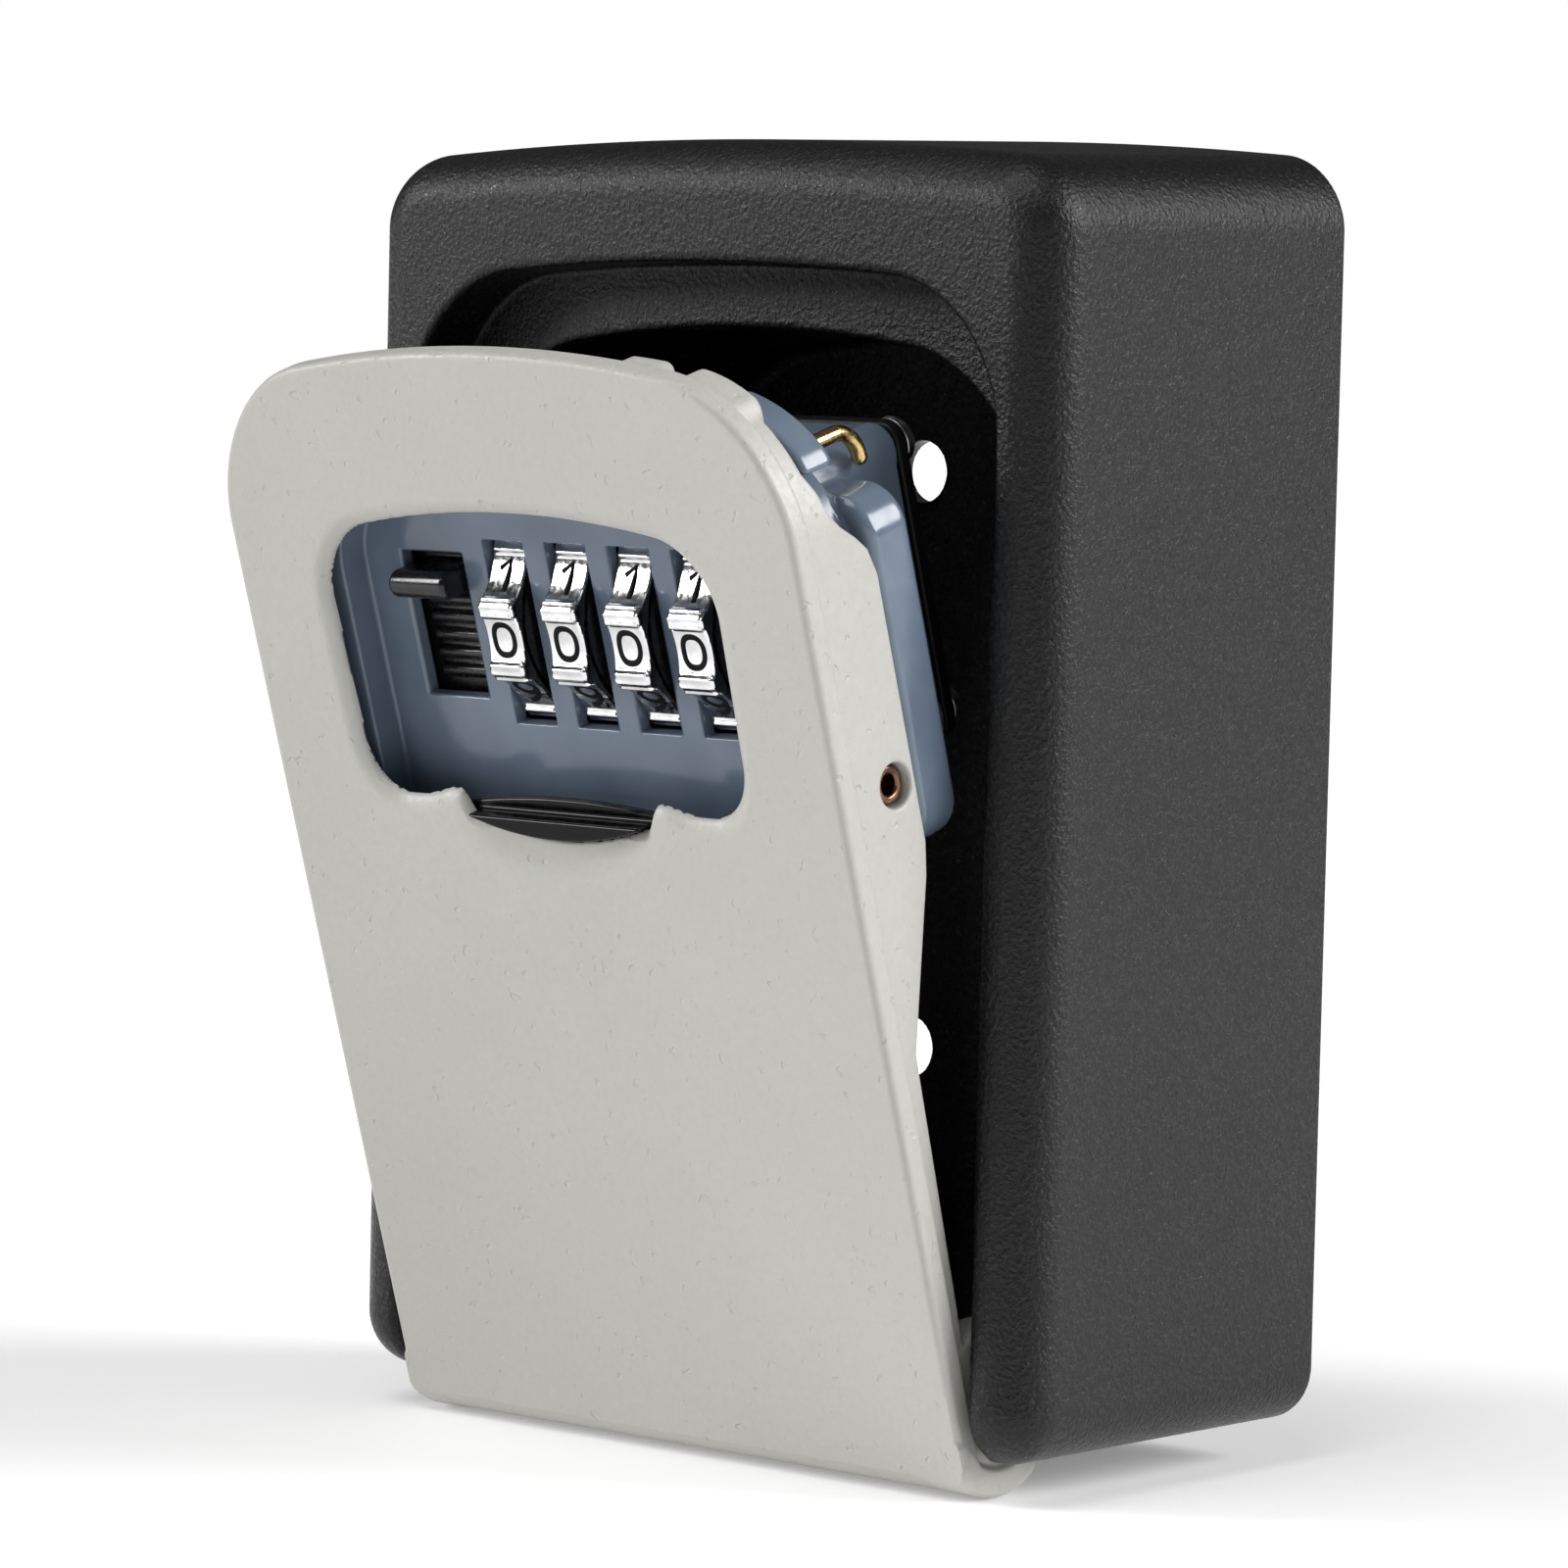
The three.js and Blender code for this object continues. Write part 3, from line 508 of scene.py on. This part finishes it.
def housing_field(x, n, s):
    front = both(arched(x, s, 31.8, 56.5, 97.4, 12, 1.2, 3), span(n, 2.8, 12.4), 0.8)
    ear = both(arched(x, s, 33.4, 60, 100.9, 13, 1.2, 1), span(n, 8.2, 12.4), 0.8)
    ear = both(both(ear, span(x, 21.5, 30.5), 1), 92.7 - s, 0.5)
    sides = both(arched(x, s, 33.4, 56.5, 90, 4, 0.2, 4), span(n, 11.7, 17.5), 1.2)
    box = both(arched(x, s, 26.5, 62, 92.4, 2, 0.1, 2), span(n, 3.8, 25), 0.5)
    f = either(either(either(front, sides, 0.5), box, 0.8), ear, 0.5)
    recess = both(arched(x, s, 24, 50, 91.6, 6, 1, 1), n - 6, 0.35)
    f = less(f, recess, 0.3)
    f = less(f, block(x, n, s, (-25.1, 25.1), (7.5, 27), (63.4, 91), 0.5), 0.2)
    posts = np.full_like(x + n + s, 50.0)
    for px, ps in BACK_SCREWS:
        post = np.hypot(x - px, s - ps)
        posts = either(posts, both(post - 2.6, span(n, 6.5, 25)))
    f = either(f, posts, 0.3)
    for px, ps in BACK_SCREWS:
        f = less(f, both(np.hypot(x - px, s - ps) - 1.3, 17.5 - n))
    latch_way = block(x, n, s, (-21, 6.5), (9.2, 11.7), (88, 95.3), 0.1)
    bolt_way = block(x, n, s, (-7, 7), (9.2, 11.7), (88, 110), 0.1)
    f = less(less(f, latch_way), bolt_way)
    slots = block(x, n, s, (-19.2, -11.5), (4, 8), (70.7, 84.7))
    for dx in DIALS:
        slots = either(slots, block(x, n, s, (dx - 2.5, dx + 2.5), (4, 8), (68.4, 86.1)))
    f = less(f, slots, 0.15)
    side_bore = both(np.hypot(n - SIDE_PIN_N, s - SIDE_PIN_S) - SIDE_PIN_BORE, 28.6 - np.abs(x))
    return less(f, side_bore, 0.2)


housing = solid("lock_housing_moulding", housing_field, (-33.4, 2.8, 56), (33.4, 25, 101), 0.27, 0.3)
finish(housing, "housing", "door", "housing_blue", "lock_housing")

# ------------------------------------------------------------------ dials


DIAL_HALF_WIDTH, RIB_RADIUS, RING_BORE = 2.2, 10.35, 8.9
FACETS = 10


def facet_radius(along):
    """The facets are slightly hollow: radius at a distance along one from its middle."""
    return 9.34 + 0.22 * (along / 1.9) ** 2


def dial_field(x, n, s):
    half_facet = math.pi / FACETS
    r = np.hypot(n - DIAL_N, s - DIAL_S)
    turn = np.arctan2(s - DIAL_S, DIAL_N - n)
    off = np.abs((turn + half_facet) % (2 * half_facet) - half_facet)
    flat = r * np.cos(off) - facet_radius(r * np.sin(off))
    rib = both(r * np.cos(half_facet - off) - RIB_RADIUS, r * np.sin(half_facet - off) - 0.95, 0.22)
    flat = both(flat, np.abs(x) - DIAL_HALF_WIDTH, 0.25)
    rib = both(rib, np.abs(x) - DIAL_HALF_WIDTH, 0.55)
    return less(either(flat, rib, 0.22), r - RING_BORE, 0.2)


def arc(x, y, rx, ry, start, end, steps=18):
    angles = np.radians(np.linspace(start, end, steps + 1))
    return [(x + rx * math.cos(t), y + ry * math.sin(t)) for t in angles]


def oval(rx, ry, power, steps=36):
    points = []
    for t in np.linspace(0, 2 * math.pi, steps, endpoint=False):
        c, d = math.cos(t), math.sin(t)
        points.append((math.copysign(rx * abs(c) ** power, c), math.copysign(ry * abs(d) ** power, d)))
    return points


# Centre lines of the digits in mm, as strokes; a stroke that ends where it starts is closed.
SIX = [arc(0.85, -0.5, 2.0, 1.95, 180, 97), arc(0, -0.55, 1.15, 0.9, 0, 360, 28)]
STROKES = [
    [oval(1.22, 1.45, 0.82)],
    [[(-0.95, 0.7), (0.2, 1.5), (0.2, -1.5)]],
    [arc(0, 0.6, 1.15, 0.85, 165, -35) + [(-1.2, -1.45), (1.25, -1.45)]],
    [arc(0, 0.72, 1.05, 0.73, 150, -85) + arc(0, -0.7, 1.22, 0.75, 85, -150)],
    [[(0.6, -1.45), (0.6, 1.45), (-1.2, -0.6), (1.25, -0.6)]],
    [[(1.05, 1.45), (-0.85, 1.45), (-0.98, 0.25)] + arc(0, -0.45, 1.2, 1.0, 140, -145)],
    SIX,
    [[(-1.15, 1.45), (1.2, 1.45), (-0.35, -1.45)]],
    [arc(0, 0.75, 0.95, 0.7, 0, 360, 28), arc(0, -0.68, 1.2, 0.78, 0, 360, 28)],
    [[(-x, -y) for x, y in stroke] for stroke in SIX],
]


STROKE_RADIUS, STROKE_FLATTEN, STROKE_LIFT = 0.29, 0.14, 0.012


def digit(number, x):
    """One digit's paint, as flattened strokes on its facet."""
    curve = bpy.data.curves.new("digit", "CURVE")
    curve.dimensions = "3D"
    curve.bevel_depth = STROKE_RADIUS
    curve.bevel_resolution = 2
    curve.use_fill_caps = True
    for stroke in STROKES[number]:
        closed = number == 0 or math.dist(stroke[0], stroke[-1]) < 1e-6
        points = stroke[:-1] if closed and number else stroke
        spline = curve.splines.new("POLY")
        spline.points.add(len(points) - 1)
        for point, (a, b) in zip(spline.points, points):
            point.co = (a, b, 0, 1)
        spline.use_cyclic_u = closed
    bare = bpy.data.objects.new("digit", curve)
    bpy.context.scene.collection.objects.link(bare)
    mesh = bpy.data.meshes.new_from_object(bare.evaluated_get(bpy.context.evaluated_depsgraph_get()))
    bpy.data.objects.remove(bare)
    co = np.array([v.co for v in mesh.vertices])
    out = facet_radius(co[:, 1]) + STROKE_LIFT + co[:, 2] * STROKE_FLATTEN
    angle = number * math.pi / 5
    n = DIAL_N - out * math.cos(angle) + co[:, 1] * math.sin(angle)
    s = DIAL_S + out * math.sin(angle) + co[:, 1] * math.cos(angle)
    mesh.vertices.foreach_set("co", from_door(np.stack([co[:, 0] + x, n, s], 1)).ravel())
    return mesh


def dial_digits(index, x):
    bm = bmesh.new()
    for number in range(FACETS):
        mesh = digit(number, x)
        bm.from_mesh(mesh)
        bpy.data.meshes.remove(mesh)
    bmesh.ops.remove_doubles(bm, verts=bm.verts, dist=1e-7)
    bmesh.ops.recalc_face_normals(bm, faces=bm.faces)
    mesh = bpy.data.meshes.new(f"dial_{index}_digits")
    bm.to_mesh(mesh)
    bm.free()
    obj = bpy.data.objects.new(mesh.name, mesh)
    bpy.context.scene.collection.objects.link(obj)
    return obj


ring = solid("dial_1_ring", dial_field, (-2.2, 3, 66.9), (2.2, 23.8, 87.7), 0.14, 0.45)
for i, x in enumerate(DIALS, 1):
    obj = ring if i == 1 else bpy.data.objects.new(f"dial_{i}_ring", ring.data.copy())
    if i > 1:
        bpy.context.scene.collection.objects.link(obj)
    obj.location.x = x * MM
    obj.data.materials.clear()
    obj.data.materials.append(LOOKS["chrome"])
    obj.data.materials.append(LOOKS["black"])
    # Painted shade: the ring's chrome sides, which face along x, get the black plastic. It stands in for the
    # shade and dark reflections in the narrow gaps between the dials.
    facing = np.empty(len(obj.data.polygons) * 3)
    obj.data.polygons.foreach_get("normal", facing)
    painted_shade_side = np.abs(facing.reshape(-1, 3)[:, 0]) > 0.8
    obj.data.polygons.foreach_set("material_index", painted_shade_side.astype(np.int32))
    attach(obj, f"dial_{i}")
    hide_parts(f"dial_ring_{i}")
    finish(dial_digits(i, x), "ink", f"dial_{i}", "black_plastic")

# ------------------------------------------------------------------ slide, shutter and pins


RIBS, TOP_RIB_S, RIB_PITCH = 5, 79.5, 1.75


def slide_field(x, n, s):
    f = block(x, n, s, (-20.4, -10.7), (8.2, 9.4), (68.4, 88.7), 0.4)
    for i in range(RIBS):
        centre = TOP_RIB_S - RIB_PITCH * i
        rib = np.hypot(n - 8.2, (s - centre) * 1.05) - 0.62
        f = either(f, both(rib, span(x, -18.7, -12), 0.35), 0.2)
    bar = np.minimum(np.hypot(n - 4.42, s - 82.1) - 1.33, both(span(s, 80.77, 83.43), span(n, 4.42, 8.6)))
    return either(f, both(bar, span(x, -18.9, -11.8), 0.5), 0.3)


slide = solid("slide_moulding", slide_field, (-20.5, 3, 66), (-10.6, 9.5, 88.5), 0.14, 0.4)
finish(slide, "black", "latch", "black_plastic", "open_slide")


def shutter_field(x, n, s):
    plate = both(arched(x, s, 26.1, 32, 63, 3, 3, 2), span(n, 1.5, 2.5), 0.3)
    bow = np.hypot(x, s - 94.5) - 34.8
    tab = both(both(s - 61.6, bow, 0.3), -0.55 - n, 0.3)
    return either(plate, both(tab, n - 2), 0.3)


shutter = solid("shutter_moulding", shutter_field, (-26.2, -0.6, 32), (26.2, 2.5, 63), 0.16, 0.3)
finish(shutter, "gloss_black", "shutter", "black_plastic", "weather_shutter")


def side_pin_field(x, n, s):
    r = np.hypot(n - SIDE_PIN_N, s - SIDE_PIN_S)
    tube = both(r - 1.75, span(np.abs(x), 28.9, 33.4), 0.2)
    return less(tube, both(r - 0.95, 31.2 - np.abs(x)), 0.3)


for name, side in (("left", -1), ("right", 1)):
    low, high = sorted((side * 28.9, side * 33.4))
    def one_side(x, n, s, side=side):
        return side_pin_field(x, n, s) + 50 * (x * side < 0)
    pin = solid(f"side_pin_tube_{name}", one_side, (low, 6.7, 62.4), (high, 10.3, 66), 0.14, 0.6)
    finish(pin, "bronze", "door", "brass", f"side_pin_{name}")


HOOK_PATH = [(12.9, 94.2)] + [(15.7 + a, 91.2 + b) for a, b in arc(0, 0, 3.0, 3.0, 90, 0, 24)]


def hook_field(x, n, s):
    f = None
    for (a, b), (c, d) in zip(HOOK_PATH[:-1], HOOK_PATH[1:]):
        one = capsule(x, n, s, (27.6, a, b), (27.6, c, d), 0.75)
        f = one if f is None else np.minimum(f, one)
    return both(f, 12.7 - n)


hook = solid("hook_wire", hook_field, (26.8, 12.7, 90.4), (28.4, 19.7, 95.4), 0.12, 0.6)
finish(hook, "brass", "door", "brass", "key_hook")

# ------------------------------------------------------------------ lock rear: plate, screws, lever, latch

PLATE_FRONT, PLATE_REAR, SCREW_SEAT = 25.3, 26.8, 27.1
RESET_X, RESET_S = -13, 70


def back_plate_field(x, n, s):
    plate = both(arched(x, s, 26.5, 62, 92.4, 2, 0.1, 2), span(n, PLATE_FRONT, PLATE_REAR), 0.35)
    for px, ps in BACK_SCREWS:
        plate = less(plate, np.hypot(x - px, s - ps) - 1.6, 0.2)
    return less(plate, np.hypot(x - RESET_X, s - RESET_S) - 1.9, 0.2)


plate = solid("lock_back_cover", back_plate_field, (-26.5, 25.3, 62), (26.5, 26.8, 92.4), 0.2, 0.25)
finish(plate, "satin_black", "door", "black_plastic", "lock_back_plate")


def screw_field(x, n, s):
    """Pan-head screw on the n axis, with a cross recess."""
    r = np.hypot(x, s)
    f = both(r - 1, span(n, SCREW_SEAT - 7, SCREW_SEAT + 0.3), 0.2)
    head = both(both(r - 2.3, np.hypot(r, n - SCREW_SEAT + 2.8) - 4.5, 0.3), SCREW_SEAT - n, 0.15)
    across = both(np.abs(x) - 1.25, np.abs(s) - 0.27)
    up = both(np.abs(x) - 0.27, np.abs(s) - 1.25)
    return less(either(f, head), both(np.minimum(across, up), SCREW_SEAT + 1 - n), 0.06)


for i, (px, ps) in enumerate(BACK_SCREWS, 1):
    def placed(p, px=px, ps=ps):
        return from_door(p + np.array([px, 0, ps]))
    screw = solid(f"pan_head_screw_{i}", screw_field, (-2.3, 20.1, -2.3), (2.3, 28.8, 2.3), 0.11, 0.4, placed)
    finish(screw, "steel", "door", "steel", f"back_plate_screw_{i}")


def lever_field(x, n, s):
    u, v = x - RESET_X, s - RESET_S
    arm = both(np.abs(u) - 2.9 + 0.06 * np.clip(v, 0, 11), span(v, 0, 11), 0.4)
    f = both(either(np.hypot(u, v) - 3.2, arm, 1.5), span(n, SCREW_SEAT, SCREW_SEAT + 1.4), 0.3)
    tab = block(u, n, v, (-2.2, 2.2), (SCREW_SEAT, SCREW_SEAT + 3.6), (9.6, 11), 0.3)
    stub = both(np.hypot(u, v) - 1.5, span(n, 22, SCREW_SEAT + 0.5))
    return either(either(f, tab, 0.5), stub)


lever = solid("code_change_lever", lever_field, (-16.3, 22, 66.7), (-9.7, 30.8, 81.1), 0.15, 0.4)
finish(lever, "black", "reset", "black_plastic", "reset_lever")


def latch_field(x, n, s):
    foot = block(x, n, s, (-24.4, -12), (-99, 99), (80, 85))
    leg = block(x, n, s, (-20.5, -12), (-99, 99), (80, 94.9))
    arm = block(x, n, s, (-20.5, 6.5), (-99, 99), (93.2, 94.9))
    bolt = both(block(x, n, s, (-6.5, 6.5), (-99, 99), (93.2, 100.4)), (np.abs(x) + s - 106.1) * 0.7)
    shape = np.minimum(np.minimum(foot, leg), np.minimum(arm, bolt))
    return both(shape, span(n, 9.7, 11.2), 0.25)


latch = solid("latch_stamping", latch_field, (-24.4, 9.7, 80), (6.5, 11.2, 100.4), 0.17, 0.35)
finish(latch, "steel", "latch", "steel", "latch_plate")

# ------------------------------------------------------------------ latch spring

SPRING_X, SPRING_N, SPRING_LOW, SPRING_HIGH = -22.7, 10.2, 68.3, 79.4
COIL_RADIUS, WIRE_RADIUS, TURNS = 1.1, 0.3, 7
TURN_STEPS, WIRE_SIDES = 28, 12


def coil():
    """A compression spring wound about s, with closer end turns; points in the door frame."""
    t = np.linspace(0, 1, TURNS * TURN_STEPS + 1)
    angle = 2 * math.pi * TURNS * t
    rise = t - 0.5 * np.sin(2 * math.pi * t) / (2 * math.pi)
    radial = np.stack([np.cos(angle), np.sin(angle), 0 * t], 1)
    centre = np.array([SPRING_X, SPRING_N, SPRING_LOW]) + COIL_RADIUS * radial
    centre[:, 2] += (SPRING_HIGH - SPRING_LOW) * rise
    along = np.gradient(centre, axis=0)
    side = np.cross(along, radial)
    side /= np.linalg.norm(side, axis=1)[:, None]
    round_wire = np.linspace(0, 2 * math.pi, WIRE_SIDES, endpoint=False)
    ring = [WIRE_RADIUS * (np.cos(a) * radial + np.sin(a) * side) for a in round_wire]
    points = centre[:, None] + np.stack(ring, 1)
    rows = len(t)
    faces = []
    for i in range(rows - 1):
        here, there = i * WIRE_SIDES, (i + 1) * WIRE_SIDES
        for j in range(WIRE_SIDES):
            k = (j + 1) % WIRE_SIDES
            faces.append((here + j, here + k, there + k, there + j))
    faces.append(tuple(range(WIRE_SIDES))[::-1])
    faces.append(tuple(range((rows - 1) * WIRE_SIDES, rows * WIRE_SIDES)))
    return points.reshape(-1, 3), faces


coil_points, coil_faces = coil()
coil_mesh = bpy.data.meshes.new("latch_coil_spring")
coil_mesh.from_pydata(from_door(coil_points), [], coil_faces)
coil_mesh.polygons.foreach_set("use_smooth", np.ones(len(coil_mesh.polygons), bool))
coil_mesh.update()
spring = bpy.data.objects.new("latch_coil_spring", coil_mesh)
bpy.context.scene.collection.objects.link(spring)
finish(spring, "steel", "door", "steel", "latch_spring")
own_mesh(spring)

# ------------------------------------------------------------------ parts kept from the frame

KEPT = {
    "dial_shaft": "steel",
    "shaft_clip_left": "steel",
    "shaft_clip_right": "steel",
    "detent_spring": "steel",
    "hinge_pin_left": "steel",
    "hinge_pin_right": "steel",
}
for i in range(1, 5):
    KEPT[f"dial_hub_{i}"] = "black"
for name, look in KEPT.items():
    node = frame["nodes"][name]
    node.data.materials.clear()
    node.data.materials.append(LOOKS[look])

# ------------------------------------------------------------------ stage

FLOOR_Z = CAD_BOX[0][2] - 0.0002
FLOOR_HALF = 6


def stage():
    """The pale floor, just under the lowest point."""
    mesh = bpy.data.meshes.new("floor")
    bm = bmesh.new()
    bmesh.ops.create_grid(bm, x_segments=2, y_segments=2, size=FLOOR_HALF)
    bm.to_mesh(mesh)
    bm.free()
    floor = bpy.data.objects.new("floor", mesh)
    floor.location.z = FLOOR_Z
    bpy.context.scene.collection.objects.link(floor)
    m = Shade("floor_white", (0.9, 0.9, 0.9), 0.6)
    m.set(Specular_IOR_Level=0.2, Emission_Color=(1, 1, 1, 1), Emission_Strength=0.22)
    mesh.materials.append(m.mat)


def sun(name, toward, spread, strength):
    """A broad distant light that comes from the direction toward, spread degrees across."""
    light = bpy.data.lights.new(name, "SUN")
    light.angle = math.radians(spread)
    light.energy = strength
    obj = bpy.data.objects.new(name, light)
    obj.rotation_euler = Vector(toward).to_track_quat("Z", "Y").to_euler()
    bpy.context.scene.collection.objects.link(obj)


def world():
    """A white backdrop that lights the object only faintly."""
    w = bpy.data.worlds.new("studio")
    bpy.context.scene.world = w
    w.use_nodes = True
    tree = w.node_tree
    back = tree.nodes["Background"]
    back.inputs["Color"].default_value = (1, 1, 1, 1)
    seen = tree.nodes.new("ShaderNodeLightPath")
    level = tree.nodes.new("ShaderNodeMapRange")
    level.inputs["To Min"].default_value = 0.07
    level.inputs["To Max"].default_value = 1.0
    tree.links.new(seen.outputs["Is Camera Ray"], level.inputs["Value"])
    tree.links.new(level.outputs["Result"], back.inputs["Strength"])


def camera():
    """Turn, pitch and roll are in degrees; distance to the looked-at point and lens in mm."""
    turn, pitch, roll, distance, lens = 40.99, 3.94, 1.34, 607.04, 145.3
    look = Vector((-4.76, -24, -1.5)) * MM
    a, e, r = (math.radians(v) for v in (turn, pitch, roll))
    back = Vector((math.sin(a) * math.cos(e), -math.cos(a) * math.cos(e), math.sin(e)))
    right = (-back).cross(Vector((0, 0, 1))).normalized()
    up = right.cross(-back)
    x_axis = math.cos(r) * right + math.sin(r) * up
    y_axis = -math.sin(r) * right + math.cos(r) * up
    data = bpy.data.cameras.new("camera")
    data.lens, data.sensor_width = lens, 36
    data.clip_start, data.clip_end = 0.01, 100
    obj = bpy.data.objects.new("camera", data)
    axes = Matrix((x_axis, y_axis, back)).transposed()
    obj.matrix_world = Matrix.Translation(look + back * distance * MM) @ axes.to_4x4()
    bpy.context.scene.collection.objects.link(obj)
    bpy.context.scene.camera = obj


stage()
world()
camera()
sun("left", (-0.8, -0.62, 0.38), 22, 1.65)
sun("right", (0.75, 0.5, 0.45), 36, 3.2)
sun("top", (-0.1, -0.45, 0.9), 45, 1.5)
bpy.context.scene.view_settings.view_transform = "Standard"
